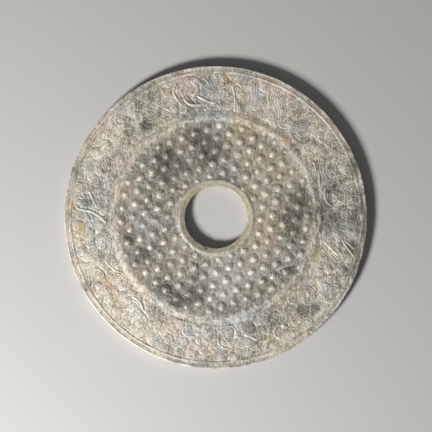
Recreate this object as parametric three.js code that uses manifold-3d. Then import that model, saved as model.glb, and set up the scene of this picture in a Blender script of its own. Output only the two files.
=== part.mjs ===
// A jade bi: a flat ring of nephrite with a round central hole, lying on its back.
// The face is carved in three rings. A plain collar goes round the hole, a field of small grain
// bosses stands in a hexagonal lattice, and a smooth band parts it from an outer ring of coiled
// dragons and animal masks in low relief. A plain margin with one raised line closes the edge.
// The back keeps the same rings, plainer: only the grain field is sunk.
// Millimetres, +Z up. The origin is at the centre of the back, and +Y is twelve o'clock.

import * as THREE from 'three';
import { mergeVertices } from 'three/addons/utils/BufferGeometryUtils.js';
import Module from 'manifold-3d';

// Driving dimensions.
const DISC_RADIUS = 80;
const DISC_THICKNESS = 5;
const HOLE_RADIUS = 16.3;
const COLLAR_RADIUS = 19.2;
const BAND_INNER_RADIUS = 52.4;
const BAND_OUTER_RADIUS = 56.4;
const MARGIN_RADIUS = 76.4;

// Depths of the sunk grounds and heights of what stands on them.
const GRAIN_DEPTH = 0.65;
const DRAGON_DEPTH = 0.55;
const BACK_DEPTH = 0.4;
const RAISED_LINE_WIDTH = 0.8;
const RAISED_LINE_HEIGHT = 0.2;
const EDGE_ROUND = 0.9;
const WALL_RUN = 0.6;

// Grain bosses: a hexagonal lattice, set out by hand a little off the square.
const BOSS_PITCH = 7;
const BOSS_RADIUS = 2.3;
const BOSS_HEIGHT = 0.6;
const LATTICE_TURN = THREE.MathUtils.degToRad(19.6);
const LATTICE_OFFSET = new THREE.Vector2(0, 3.3);

// Dragon coils: each is an S with one curl near the margin and one near the band.
const OUTER_CURL_RADIUS = 70.8;
const INNER_CURL_RADIUS = 62;
const CURL_RADIUS = 3.3;
const CURL_TURNS = 0.86;
const CURL_EYE_SHARE = 0.38;
const BODY_WIDTH = 2.8;
const BODY_HEIGHT = 0.5;
// Clock angles, in degrees, of the outer and the inner curl of each S.
const COILS = [
  [13, 5], [28, 37], [56, 45], [68, 71], [88, 80],
  [126, 119], [140, 131], [152, 160], [174, 171], [186, 194], [203, 208],
  [240, 236], [250, 247], [265, 258], [278, 270], [298, 291], [311, 305], [325, 318],
];

// Animal masks, one for each third of the ring, looking out towards the margin.
const MASK_CLOCKS = [104, 224, 346];
const MASK_RADIUS = 66.5;
const MASK_EYE_SPREAD = 3.9;
const MASK_EYE_RADIUS = 2.2;
const MASK_BROW_LENGTH = 9;

const LATHE_SEGMENTS = 56;
const BOSS_SIDES = 6;
const CURL_STEPS = 7;
const SUNK_ROOT = 0.3;

const wasm = await Module();
wasm.setup();

// A closed three.js geometry as a solid that can be joined to others.
function toSolid(geometry) {
  const plain = geometry.clone();
  plain.deleteAttribute('normal');
  plain.deleteAttribute('uv');
  const merged = mergeVertices(plain, 1e-4);
  const mesh = new wasm.Mesh({
    numProp: 3,
    vertProperties: new Float32Array(merged.attributes.position.array),
    triVerts: new Uint32Array(merged.index.array),
  });
  return new wasm.Manifold(mesh);
}

// A solid back as a flat-shaded three.js geometry.
function toGeometry(solid) {
  const mesh = solid.getMesh();
  const geometry = new THREE.BufferGeometry();
  geometry.setAttribute('position', new THREE.BufferAttribute(mesh.vertProperties, 3));
  geometry.setIndex(new THREE.BufferAttribute(mesh.triVerts, 1));
  geometry.computeVertexNormals();
  return geometry;
}

// A place on the face, from its clock angle in degrees and its distance from the centre.
function atClock(clock, radius) {
  const angle = THREE.MathUtils.degToRad(90 - clock);
  return new THREE.Vector2(radius * Math.cos(angle), radius * Math.sin(angle));
}

// The turned body: one closed section, from the back's rim up the edge and in across the face.
function turnedBody() {
  const top = DISC_THICKNESS;
  const margin = top - RAISED_LINE_HEIGHT;
  const dragonGround = top - DRAGON_DEPTH;
  const grainGround = top - GRAIN_DEPTH;
  const grainOuter = BAND_INNER_RADIUS - WALL_RUN;
  const section = [
    [DISC_RADIUS - EDGE_ROUND, 0],
    [DISC_RADIUS, EDGE_ROUND],
    [DISC_RADIUS, top - 1.6 * EDGE_ROUND],
    [DISC_RADIUS - 0.35 * EDGE_ROUND, top - 0.7 * EDGE_ROUND],
    [DISC_RADIUS - EDGE_ROUND, margin],
    [MARGIN_RADIUS + RAISED_LINE_WIDTH, margin],
    [MARGIN_RADIUS, top],
    [MARGIN_RADIUS - WALL_RUN, dragonGround],
    [BAND_OUTER_RADIUS + WALL_RUN, dragonGround],
    [BAND_OUTER_RADIUS - 0.4 * WALL_RUN, top - 0.35 * DRAGON_DEPTH],
    [BAND_INNER_RADIUS + 2 * WALL_RUN, top],
    [BAND_INNER_RADIUS, top - 0.15 * GRAIN_DEPTH],
    [grainOuter, grainGround],
    [COLLAR_RADIUS + WALL_RUN, grainGround],
    [COLLAR_RADIUS, top],
    [COLLAR_RADIUS - RAISED_LINE_WIDTH, margin],
    [HOLE_RADIUS + 0.5 * EDGE_ROUND, margin - 0.1 * EDGE_ROUND],
    [HOLE_RADIUS, margin - 0.5 * EDGE_ROUND],
    [HOLE_RADIUS, 0.4 * EDGE_ROUND],
    [HOLE_RADIUS + 0.4 * EDGE_ROUND, 0],
    [COLLAR_RADIUS, 0],
    [COLLAR_RADIUS + WALL_RUN, BACK_DEPTH],
    [grainOuter, BACK_DEPTH],
    [BAND_INNER_RADIUS, 0],
    [DISC_RADIUS - EDGE_ROUND, 0],
  ];
  const points = section.map(([radius, height]) => new THREE.Vector2(radius, height));
  const geometry = new THREE.LatheGeometry(points, LATHE_SEGMENTS);
  geometry.rotateX(Math.PI / 2);
  return toSolid(geometry);
}

// A low dome with a root that sinks into the ground it stands on.
function dome(centre, radius, height, ground, sides) {
  const profile = [
    new THREE.Vector2(0, -SUNK_ROOT),
    new THREE.Vector2(radius, -SUNK_ROOT),
    new THREE.Vector2(radius, 0),
    new THREE.Vector2(0.62 * radius, 0.75 * height),
    new THREE.Vector2(0, height),
  ];
  const geometry = new THREE.LatheGeometry(profile, sides);
  geometry.rotateX(Math.PI / 2);
  geometry.rotateZ(LATTICE_TURN);
  geometry.translate(centre.x, centre.y, ground);
  return toSolid(geometry);
}

// A low ridge along a path on the face: a flat-topped section that narrows towards both ends.
function ridge(path, halfWidths, height, ground) {
  const positions = [];
  const indices = [];
  const last = path.length - 1;
  path.forEach((point, i) => {
    const before = path[Math.max(i - 1, 0)];
    const after = path[Math.min(i + 1, last)];
    const side = new THREE.Vector2(before.y - after.y, after.x - before.x).normalize();
    const foot = halfWidths[i];
    const crest = 0.6 * foot;
    for (const [offset, level] of [[-foot, -SUNK_ROOT], [-foot, 0], [-crest, height],
      [crest, height], [foot, 0], [foot, -SUNK_ROOT]]) {
      positions.push(point.x + offset * side.x, point.y + offset * side.y, ground + level);
    }
  });
  const ring = 6;
  for (let i = 0; i < last; i += 1) {
    for (let j = 0; j < ring; j += 1) {
      const a = i * ring + j;
      const b = i * ring + (j + 1) % ring;
      indices.push(a, a + ring, b, b, a + ring, b + ring);
    }
  }
  const end = last * ring;
  for (let j = 1; j < ring - 1; j += 1) {
    indices.push(0, j, j + 1);
    indices.push(end, end + j + 1, end + j);
  }
  const geometry = new THREE.BufferGeometry();
  geometry.setAttribute('position', new THREE.Float32BufferAttribute(positions, 3));
  geometry.setIndex(indices);
  return toSolid(geometry);
}

// The path of an S coil: a spiral round each curl, joined by the line that touches both.
function coilPath(outer, inner, hand) {
  const across = inner.clone().sub(outer);
  const lean = hand * Math.acos(Math.min(0.95, 2 * CURL_RADIUS / across.length()));
  const start = Math.atan2(across.y, across.x) + lean;
  const spiral = (centre, from) => Array.from({ length: CURL_STEPS + 1 }, (_, k) => {
    const share = k / CURL_STEPS;
    const angle = from + hand * share * CURL_TURNS * 2 * Math.PI;
    const reach = CURL_RADIUS * (1 - (1 - CURL_EYE_SHARE) * share);
    return new THREE.Vector2(
      centre.x + reach * Math.cos(angle),
      centre.y + reach * Math.sin(angle),
    );
  });
  return [...spiral(outer, start).reverse(), ...spiral(inner, start + Math.PI)];
}

// Every second coil turns the other way.
function dragonCoils() {
  const ground = DISC_THICKNESS - DRAGON_DEPTH;
  return COILS.map(([outerClock, innerClock], i) => {
    const outer = atClock(outerClock, OUTER_CURL_RADIUS);
    const inner = atClock(innerClock, INNER_CURL_RADIUS);
    const path = coilPath(outer, inner, i % 2 ? 1 : -1);
    const middle = (path.length - 1) / 2;
    const halfWidths = path.map((_, k) => (
      0.5 * BODY_WIDTH * (1 - 0.45 * Math.abs(k - middle) / middle)
    ));
    return ridge(path, halfWidths, BODY_HEIGHT, ground);
  });
}

// A mask is two round eyes under a pair of arched brows, with a nose that widens below them.
function animalMask(clock) {
  const ground = DISC_THICKNESS - DRAGON_DEPTH;
  const spreadClock = THREE.MathUtils.radToDeg(MASK_EYE_SPREAD / MASK_RADIUS);
  const browClock = THREE.MathUtils.radToDeg(MASK_BROW_LENGTH / MASK_RADIUS);
  const sides = [-1, 1].flatMap((side) => {
    const eye = atClock(clock + side * spreadClock, MASK_RADIUS);
    const brow = [0.12, 0.45, 0.8, 1.1].map((share) => atClock(
      clock + side * browClock * share,
      MASK_RADIUS + 1.5 * MASK_EYE_RADIUS + 2 * Math.sin(2.6 * share),
    ));
    return [
      dome(eye, MASK_EYE_RADIUS, BODY_HEIGHT, ground, BOSS_SIDES),
      ridge(brow, [0.6, 1.1, 1.1, 0.5], BODY_HEIGHT, ground),
    ];
  });
  const nose = [2.6, -1.5, -5, -7.5].map((rise) => atClock(clock, MASK_RADIUS + rise));
  return [...sides, ridge(nose, [0.7, 0.8, 1.1, 2], BODY_HEIGHT, ground)];
}

// Grain bosses fill the field, and those at its edge run into the collar or the band.
function grainBosses() {
  const ground = DISC_THICKNESS - GRAIN_DEPTH;
  const reach = Math.ceil(1.2 * BAND_INNER_RADIUS / BOSS_PITCH);
  const along = new THREE.Vector2(BOSS_PITCH, 0).rotateAround(new THREE.Vector2(), LATTICE_TURN);
  const across = along.clone().rotateAround(new THREE.Vector2(), Math.PI / 3);
  const bosses = [];
  for (let i = -reach; i <= reach; i += 1) {
    for (let j = -reach; j <= reach; j += 1) {
      const centre = LATTICE_OFFSET.clone().addScaledVector(along, i).addScaledVector(across, j);
      const distance = centre.length();
      const clearOfCollar = distance > COLLAR_RADIUS + 0.4 * BOSS_RADIUS;
      const clearOfBand = distance < BAND_INNER_RADIUS - 0.5 * BOSS_RADIUS;
      if (clearOfCollar && clearOfBand) {
        bosses.push(dome(centre, BOSS_RADIUS, BOSS_HEIGHT, ground, BOSS_SIDES));
      }
    }
  }
  return bosses;
}

const carving = [
  ...grainBosses(),
  ...dragonCoils(),
  ...MASK_CLOCKS.flatMap((clock) => animalMask(clock)),
];
const carvedDisc = carving.reduce((disc, piece) => disc.add(piece), turnedBody());

const jade = new THREE.MeshStandardMaterial({ color: 0xa8a08f, roughness: 0.45, metalness: 0 });
const biDisc = new THREE.Mesh(toGeometry(carvedDisc), jade);
biDisc.name = 'bi_disc';

const group = new THREE.Group();
group.add(biDisc);

export default group;
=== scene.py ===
# A jade bi disc, lying on its back on a pale table and seen from straight above.
import math
import random

import bpy
import numpy as np
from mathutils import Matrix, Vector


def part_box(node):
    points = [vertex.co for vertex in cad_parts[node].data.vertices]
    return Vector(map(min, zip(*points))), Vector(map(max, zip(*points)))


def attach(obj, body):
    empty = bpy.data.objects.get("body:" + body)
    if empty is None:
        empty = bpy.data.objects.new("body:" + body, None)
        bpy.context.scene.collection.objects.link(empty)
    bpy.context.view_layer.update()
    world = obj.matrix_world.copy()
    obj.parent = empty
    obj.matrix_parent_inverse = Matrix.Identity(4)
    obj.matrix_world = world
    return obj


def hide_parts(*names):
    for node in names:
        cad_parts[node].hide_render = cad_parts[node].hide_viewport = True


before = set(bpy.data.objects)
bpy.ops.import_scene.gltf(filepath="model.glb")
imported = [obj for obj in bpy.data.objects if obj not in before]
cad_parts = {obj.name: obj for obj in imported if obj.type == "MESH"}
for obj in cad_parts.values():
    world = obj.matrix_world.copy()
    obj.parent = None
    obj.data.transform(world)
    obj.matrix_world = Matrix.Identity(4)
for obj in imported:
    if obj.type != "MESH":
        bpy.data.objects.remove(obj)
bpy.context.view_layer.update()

# THE DISC: THE TURNED SLAB
# The disc is one slab of nephrite, sawn flat, bored with a tubular drill and ground round. Sunk
# rings were then cut in its face, which left a collar, a smooth band and a raised line standing.
MM = 0.001
box_low, box_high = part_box("bi_disc")
disc_radius = (box_high[0] - box_low[0]) / 2 / MM
thickness = (box_high[2] - box_low[2]) / MM
hole = 0.2037 * disc_radius
collar = 0.24 * disc_radius
band_inside = 0.655 * disc_radius
band_outside = 0.705 * disc_radius
margin = 0.955 * disc_radius
grain_depth = 0.85
dragon_depth = 0.6

# Radius and height under the highest level, both in millimetres, from the hole to the edge.
face_profile = [
    (hole, -0.65),
    (hole + 0.25, -0.42),
    (hole + 0.8, -0.38),
    (collar - 1.6, -0.32),
    (collar - 0.2, -0.02),
    (collar + 0.15, 0.0),
    (collar + 0.5, -0.08),
    (collar + 1.1, -0.34),
    (collar + 1.9, -0.6),
    (collar + 5, -grain_depth),
    (band_inside - 5, -grain_depth),
    (band_inside - 2.2, -0.66),
    (band_inside - 1, -0.42),
    (band_inside - 0.2, -0.2),
    (band_inside + 0.3, -0.12),
    (band_inside + 1.1, -0.1),
    (band_inside + 1.8, -0.16),
    (band_outside - 1.4, -0.3),
    (band_outside - 0.4, -0.5),
    (band_outside + 0.4, -dragon_depth),
    (margin - 1.8, -dragon_depth),
    (margin - 0.45, -0.42),
    (margin + 0.2, -0.04),
    (margin + 0.45, 0.0),
    (margin + 0.9, -0.26),
    (margin + 1.5, -0.26),
    (disc_radius - 1.5, -0.2),
    (disc_radius - 1.25, -0.28),
    (disc_radius - 0.85, -0.05),
    (disc_radius - 0.45, -0.1),
    (disc_radius, -0.4),
]
profile_radii, profile_levels = np.array(face_profile).T


def turned_level(radius):
    """Level of the turned face, with its corners a little eased."""
    eased = [np.interp(radius + shift, profile_radii, profile_levels) for shift in (-0.1, 0, 0.1)]
    return sum(eased) / 3


# THE DISC: GRAIN BOSSES
# The lapidary set out three crossing families of lines and ground away what lay between their
# crossings, which left rows of low round grains. A small curl was then drilled in each.
boss_pitch = 0.0875 * disc_radius
boss_radius = 2.35
boss_height = 0.83
lattice_wander = 0.12
lattice_turn = math.radians(19.6)
lattice_start = (0.0, 0.0412 * disc_radius)
carver = random.Random(7)

bosses = []
for i in range(-9, 10):
    for j in range(-9, 10):
        along = math.cos(lattice_turn) * i + math.cos(lattice_turn + math.pi / 3) * j
        across = math.sin(lattice_turn) * i + math.sin(lattice_turn + math.pi / 3) * j
        centre_x = lattice_start[0] + boss_pitch * along + carver.gauss(0, lattice_wander)
        centre_y = lattice_start[1] + boss_pitch * across + carver.gauss(0, lattice_wander)
        distance = math.hypot(centre_x, centre_y)
        if collar - 0.5 < distance < band_inside + 0.5:
            vigour = carver.uniform(0.84, 1.06)
            facing = carver.gauss(-20, 55)
            # How much this grain's cap is painted lighter, as a highlight with some polish.
            polish_and_highlight = carver.uniform(0.15, 1)
            bosses.append((centre_x, centre_y, vigour, facing, polish_and_highlight))

# Shares of a boss's height and of its radius.
skirt_height = 0.84
knob_height = 0.15
knob_radius = 0.45
groove_depth = 0.34
groove_width = 0.17
groove_start = 0.5
groove_run = 0.2


def raise_bosses(x, y, level, dirt_and_shade):
    """Lift each grain out of its ground, with a knob on its crown inside a comma-shaped groove."""
    radius = np.hypot(x, y)
    ground = np.nonzero((radius > collar - 1) & (radius < band_inside + 1))[0]
    ground_x = x[ground]
    ground_y = y[ground]
    for centre_x, centre_y, vigour, facing, polish_and_highlight in bosses:
        near = ground[(abs(ground_x - centre_x) < 3) & (abs(ground_y - centre_y) < 3)]
        dx = x[near] - centre_x
        dy = y[near] - centre_y
        reach = np.hypot(dx, dy) / (boss_radius * vigour)
        skirt = skirt_height * np.clip(1 - reach ** 2.8, 0, 1)
        knob = knob_height * np.exp(-(reach / knob_radius) ** 2)
        turn = (np.degrees(np.arctan2(dy, dx)) - facing) % 360 / 360
        off_groove = reach - groove_start - groove_run * turn
        groove = np.exp(-(off_groove / groove_width) ** 2) * np.clip(1.4 - 1.7 * turn, 0, 1)
        raised = boss_height * vigour * np.clip(skirt + knob - groove_depth * groove, 0, 1.05)
        ground_share = raised - grain_depth > level[near] - 0.2
        level[near] = np.maximum(level[near], raised - grain_depth)
        # Painted shade with some dirt: the comma groove and two rings round the boss's foot are darkened on
        # every side.
        foot = np.exp(-((reach - 1.04) / 0.13) ** 2) + 0.5 * np.exp(-((reach - 1.42) / 0.1) ** 2)
        boss_foot_dirt_and_shade = np.maximum(0.8 * groove, 0.7 * foot * ground_share)
        dirt_and_shade[near] = np.maximum(dirt_and_shade[near], boss_foot_dirt_and_shade)


# THE DISC: DRAGONS AND MASKS
# The outer ring is a tangle of dragon bodies and animal masks. The bodies were left standing as
# low rounded coils, and their contours, curls, feathers and hatching were cut with a small wheel.
# Every place is a clock angle in degrees with a share of the disc's radius.
def place(clock, share):
    """A place on the face from its clock angle in degrees and its share of the radius."""
    angle = math.radians(90 - clock)
    return np.array([math.cos(angle), math.sin(angle)]) * share * disc_radius


def curl(clock, share, size, turns, opens, hand=1):
    """A spiral that starts size millimetres out, on the side that opens says, and winds in."""
    inward = np.linspace(0, 1, max(6, int(16 * turns)) + 1)
    angle = np.radians(90 - (clock + opens + hand * 360 * turns * inward))
    reach = size * (1 - 0.82 * inward)
    return place(clock, share) + np.column_stack([np.cos(angle), np.sin(angle)]) * reach[:, None]


def sweep(*stations):
    """A smooth line through a few stations, each a clock angle and a share of the radius."""
    points = np.array([place(clock, share) for clock, share in stations])
    padded = np.vstack([2 * points[0] - points[1], points, 2 * points[-1] - points[-2]])
    line = []
    for i in range(len(points) - 1):
        a, b, c, d = padded[i:i + 4]
        for t in np.linspace(0, 1, 7)[:-1]:
            line.append(0.5 * (2 * b + (c - a) * t + (2 * a - 5 * b + 4 * c - d) * t ** 2
                               + (3 * b - a - 3 * c + d) * t ** 3))
    return np.array(line + [points[-1]])


def beside(path, offset):
    """The line that runs beside a path, offset millimetres to its left."""
    run = np.gradient(path, axis=0)
    run /= np.hypot(run[:, 0], run[:, 1])[:, None] + 1e-9
    return path + offset * np.column_stack([-run[:, 1], run[:, 0]])


def distance_to(path, x, y):
    """Distance of each point to a path."""
    best = np.full(len(x), 99.0)
    for start, end in zip(path[:-1], path[1:]):
        run = end - start
        dx = x - start[0]
        dy = y - start[1]
        share = np.clip((dx * run[0] + dy * run[1]) / (run @ run + 1e-9), 0, 1)
        gap = np.hypot(dx - share * run[0], dy - share * run[1])
        best = np.minimum(best, gap)
    return best


def near_path(path, x, y, reach):
    """The points that a cut or a coil along the path can touch."""
    low = path.min(axis=0) - reach
    high = path.max(axis=0) + reach
    return np.nonzero((x > low[0]) & (x < high[0]) & (y > low[1]) & (y < high[1]))[0]


bodies = []
cuts = []
crests = []


def body(path, width, height=0.42):
    """A rounded coil that stands out of the ground."""
    bodies.append((path, width, height))


def cut(path, width=0.75, depth=0.17):
    """A wheel-cut line."""
    cuts.append((path, width, depth))


def ridge(path, width=0.8, height=0.2):
    """A thin raised line with a cut along each side of it. Its crest is painted lighter, as a highlight with
    some chalky weathering.
    """
    body(path, width * 2.2, height + 0.14)
    crests.append((path, 0.5 * width))
    cut(beside(path, width), 0.6, 0.13)
    cut(beside(path, -width), 0.6, 0.13)


def fan(path, count, spacing, **size):
    """The same line cut several times, side by side."""
    for k in range(count):
        cut(beside(path, k * spacing), **size)


def hatch(path, length, spacing, slant=0.0):
    """Short strokes across a path, like the rungs of a ladder."""
    steps = np.hypot(*np.diff(path, axis=0).T)
    travelled = np.concatenate([[0], np.cumsum(steps)])
    for distance in np.arange(0.5 * spacing, travelled[-1], spacing):
        middle = np.array([np.interp(distance, travelled, path[:, k]) for k in (0, 1)])
        ahead = np.array([np.interp(distance + 0.1, travelled, path[:, k]) for k in (0, 1)])
        run = (ahead - middle) / (np.hypot(*(ahead - middle)) + 1e-9)
        across = np.array([-run[1], run[0]]) + slant * run
        cut(np.array([middle - 0.5 * length * across, middle + 0.5 * length * across]), 0.45, 0.16)


def coil(clock, share, size, turns=1.6, opens=0, hand=1):
    """A curled-up end: a round swell with a spiral cut in it."""
    body(curl(clock, share, 0.5 * size, 1, 0), 1.7 * size)
    cut(curl(clock, share, size, turns, opens, hand))


# From twelve o'clock to two: a coiled tail, a speckled boss, the long S and the leaf.
coil(5.7, 0.765, 3.7, 2.4, 200)
ridge(sweep((2, 0.76), (3, 0.735), (5.5, 0.717), (8, 0.73)))
ridge(sweep((7.3, 0.87), (8.2, 0.84), (9, 0.80), (9.5, 0.76), (10, 0.72)), 0.7)
cut(sweep((3.5, 0.95), (5, 0.92), (6.5, 0.90), (7, 0.89)), 0.8)
coil(5, 0.885, 2.2, 1.5, 60, -1)
ridge(sweep((7.3, 0.87), (8, 0.89), (9.5, 0.895), (10.8, 0.882)), 0.6)
cut(sweep((8, 0.875), (9.3, 0.878), (10.5, 0.872)), 0.8, 0.22)
coil(12, 0.82, 2.0, 1.4, 300)
fan(sweep((10, 0.79), (12, 0.765), (13.2, 0.735)), 4, 1.1)
body(curl(15.5, 0.893, 1.2, 1, 0), 4.4)
fan(sweep((17.5, 0.93), (18.5, 0.885), (19.5, 0.85)), 3, -1.3)
ridge(sweep((22.8, 0.90), (23.2, 0.87), (24, 0.845), (25, 0.835)), 0.8, 0.24)
coil(26, 0.83, 1.9, 1.4, 340)
coil(28.6, 0.875, 3.0, 1.8, 280)
body(sweep((29.5, 0.855), (31.5, 0.82), (33, 0.785), (34, 0.755)), 4.2)
fan(sweep((28, 0.84), (30, 0.81), (31.7, 0.775), (33, 0.735)), 4, 1.25)
coil(36.2, 0.787, 3.3, 1.9, 240, -1)
ridge(sweep((33.2, 0.755), (34.5, 0.738), (36.5, 0.735), (38.3, 0.75)), 0.6)
cut(sweep((36, 0.815), (37.2, 0.822), (38.6, 0.815)), 0.8, 0.22)
cut(sweep((36.5, 0.945), (38, 0.92), (39.3, 0.89), (39.8, 0.865)), 1.0, 0.25)
cut(sweep((37, 0.90), (38.5, 0.87), (39.3, 0.855)), 0.8)
coil(44.6, 0.815, 5.4, 3.2, 250)
cut(sweep((43, 0.752), (45, 0.742), (48, 0.75)))
fan(sweep((47.3, 0.935), (48.8, 0.895), (49.9, 0.86)), 2, 1.1)
coil(50, 0.922, 1.8, 1.2, 180)
coil(51.6, 0.872, 1.8, 1.2, 90)
coil(54.6, 0.865, 1.7, 1.2, 200, -1)
coil(58, 0.925, 2.2, 1.4, 90)
ridge(sweep((50.5, 0.845), (51.8, 0.843), (53, 0.852), (55.3, 0.855)), 0.8)

# From two o'clock to four: small rings, two scalloped coils, the claws and the plaited strip.
coil(64, 0.922, 2.3, 1.6, 30)
fan(sweep((63, 0.852), (65.3, 0.83), (68, 0.815), (70.5, 0.83), (73, 0.857)), 3, -1.3)
fan(sweep((60, 0.785), (64, 0.773), (68, 0.762), (72, 0.757)), 3, -1.3)
ridge(sweep((60.5, 0.735), (62, 0.742), (64, 0.73), (66.5, 0.736), (69, 0.73), (72, 0.72)), 0.7)
cut(sweep((64, 0.905), (64.6, 0.88), (66, 0.866), (68.5, 0.866), (71, 0.875)))
fan(sweep((70.5, 0.94), (72, 0.915), (74.3, 0.90)), 2, 1.2)
coil(80.5, 0.83, 3.9, 2.2, 250)
ridge(sweep((77, 0.825), (77.8, 0.855), (80, 0.868), (82.6, 0.86), (84.2, 0.835), (83.5, 0.805)), 0.6)
fan(sweep((76, 0.87), (77.5, 0.89), (79.5, 0.90)), 2, 1.1)
ridge(sweep((76, 0.742), (79, 0.732), (82, 0.74), (84, 0.76)), 0.8)
coil(88.5, 0.866, 3.0, 2.0, 20, -1)
ridge(sweep((87.5, 0.838), (88.7, 0.832), (89.8, 0.842)), 0.8, 0.25)
fan(sweep((90, 0.93), (93, 0.915), (95.5, 0.888), (96.5, 0.86), (96.3, 0.83), (95.3, 0.80)), 3, -1.5)
cut(sweep((86.5, 0.79), (86.8, 0.763), (88.5, 0.754), (89.8, 0.768), (89.8, 0.795)), 0.9, 0.24)
cut(sweep((87.6, 0.79), (88, 0.775), (88.8, 0.776)))
for clock in (93.6, 94.9, 96.1):
    ridge(curl(clock, 0.782 - 0.004 * (clock - 93.6), 1.1, 0.7, 250), 0.5)
cut(sweep((93.3, 0.745), (94.8, 0.755), (96.2, 0.775)), 0.8, 0.22)
ridge(sweep((98.5, 0.865), (100, 0.865), (101, 0.885), (102.6, 0.932)), 0.6)
ridge(sweep((100.5, 0.855), (102, 0.87), (103.5, 0.90), (105.8, 0.945)), 0.7, 0.25)
fan(sweep((98.2, 0.88), (99.5, 0.905), (101, 0.94)), 2, 1.0)
fan(sweep((97.4, 0.85), (98.2, 0.833), (100, 0.84), (101.5, 0.845)), 2, -1.0)
cut(sweep((100.2, 0.795), (101.4, 0.778), (102.8, 0.80), (103.8, 0.83), (104.2, 0.855)), 0.9, 0.24)
cut(sweep((99.6, 0.785), (101.2, 0.762), (103.2, 0.785), (104.6, 0.82)))
ridge(sweep((103, 0.742), (104.5, 0.775), (106, 0.81), (107, 0.84)), 0.9, 0.26)
ridge(sweep((106.4, 0.862), (107.4, 0.877), (108.3, 0.866), (107.6, 0.85)), 0.6)
plait = sweep((104.2, 0.735), (106, 0.772), (108, 0.812), (109.6, 0.85))
for shift in (-0.3, -1.7):
    hatch(beside(plait, shift), 1.1, 1.0)
cut(plait, 0.5)
cut(sweep((105.6, 0.727), (107.5, 0.765), (109.5, 0.80), (111, 0.84)))
cut(sweep((111, 0.81), (112.5, 0.835), (115, 0.848), (117, 0.838), (117.3, 0.815), (116, 0.795),
          (113.5, 0.787), (111.3, 0.80)))
cut(sweep((111.6, 0.812), (113, 0.83), (114, 0.833)), 0.9, 0.25)
body(curl(114.5, 0.815, 1.2, 1, 0), 3.4)
fan(sweep((116.2, 0.80), (118, 0.81), (119.9, 0.832)), 2, 1.1)
coil(117, 0.772, 1.9, 1.2, 150)
fan(sweep((117.6, 0.94), (118.7, 0.915), (119.7, 0.885)), 2, 1.1)

# From four o'clock to six: the many-lined spiral, the boat-shaped coil, the large C and two eyes.
coil(130, 0.785, 5.6, 3.3, 200, -1)
fan(sweep((122, 0.748), (126, 0.735), (130, 0.745), (133.3, 0.775)), 2, -1.1)
cut(sweep((125, 0.81), (126, 0.825), (127.6, 0.832)), 0.9, 0.24)
coil(121.3, 0.79, 1.6, 1.2, 90)
fan(sweep((132.5, 0.845), (134.3, 0.80), (134.8, 0.765)), 3, 1.1)
coil(133.2, 0.883, 2.7, 2.0, 300)
coil(140.4, 0.868, 1.9, 1.2, 120)
fan(sweep((138, 0.868), (139, 0.833), (141, 0.826), (143.5, 0.832), (145, 0.852), (144.8, 0.878)), 3, -1.4)
coil(143.2, 0.872, 1.6, 1.2, 240, -1)
body(curl(147.5, 0.846, 0.7, 1, 0), 2.6)
ridge(sweep((152.3, 0.90), (153.2, 0.88), (153.2, 0.855), (152, 0.83), (150, 0.82)), 1.0, 0.28)
coil(151.2, 0.878, 1.4, 1.1, 90)
cut(sweep((155.2, 0.87), (154.6, 0.84), (152.6, 0.808), (151.6, 0.775)), 0.8)
cut(sweep((146.3, 0.765), (147, 0.74), (149, 0.728), (151, 0.745)), 0.8)
body(curl(148.7, 0.762, 1.8, 1, 0), 4.0)
fan(sweep((141, 0.727), (142.8, 0.765), (145.3, 0.797)), 3, 1.2)
ridge(sweep((137.4, 0.768), (139, 0.75), (138.7, 0.725), (136.5, 0.715)), 0.7)
coil(157, 0.797, 1.8, 1.3, 60)
cut(sweep((155.8, 0.835), (157.5, 0.86), (160.3, 0.862)))
ridge(sweep((161.5, 0.852), (163.5, 0.825), (165.7, 0.80)), 0.7)
coil(162.4, 0.78, 3.2, 2.4, 30)
coil(168.8, 0.787, 1.6, 1.2, 80)
ridge(sweep((170.2, 0.795), (170.1, 0.76), (171.2, 0.731), (173.3, 0.723)), 0.8)
coil(172.8, 0.757, 3.0, 1.4, 90, -1)
ridge(sweep((174, 0.872), (176.5, 0.862), (178.4, 0.84), (178.9, 0.808)), 0.7)
cut(sweep((175.3, 0.83), (176.6, 0.80)), 0.9, 0.25)
fan(sweep((176.5, 0.79), (178, 0.77), (179.6, 0.75)), 4, 1.1)
hatch(sweep((163.5, 0.93), (166.5, 0.915), (169.5, 0.90)), 3.2, 1.2, 0.3)
coil(163, 0.885, 2.0, 1.5, 190)
cut(sweep((174.9, 0.925), (175, 0.885)), 0.8, 0.22)

# From six o'clock to eight: the second pair of eyes, a hooked brow and the mask's long lines.
cut(sweep((185.2, 0.825), (186.6, 0.843), (189, 0.838), (190.3, 0.81)))
coil(187.6, 0.82, 1.7, 1.2, 140)
coil(193.9, 0.768, 3.2, 1.8, 100)
ridge(sweep((190.8, 0.80), (193.4, 0.808), (195.8, 0.793), (196.3, 0.765)), 0.7)
fan(sweep((187, 0.925), (187.4, 0.885)), 2, 1.3)
coil(201.6, 0.866, 2.0, 1.4, 10)
cut(sweep((198.9, 0.865), (199.3, 0.836), (200.5, 0.826), (202.2, 0.826)), 0.9, 0.24)
cut(sweep((203.5, 0.905), (205.3, 0.885), (206, 0.855)), 0.8)
coil(208.3, 0.79, 2.2, 1.2, 0, -1)
fan(sweep((204.5, 0.778), (207, 0.76), (209.5, 0.765), (212, 0.752), (214.3, 0.735)), 2, -1.2)
cut(sweep((212.4, 0.835), (214, 0.805), (216.5, 0.79), (219.8, 0.785)), 1.1, 0.3)
cut(sweep((213.8, 0.84), (216, 0.822), (219.5, 0.81)), 0.6)
cut(sweep((218.7, 0.755), (221.5, 0.727), (223, 0.707), (226, 0.71), (230, 0.732)), 1.1, 0.3)
ridge(sweep((217.5, 0.778), (220.5, 0.757), (223.5, 0.75), (226, 0.755)), 0.7)
coil(215.3, 0.868, 1.9, 1.2, 250)
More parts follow.
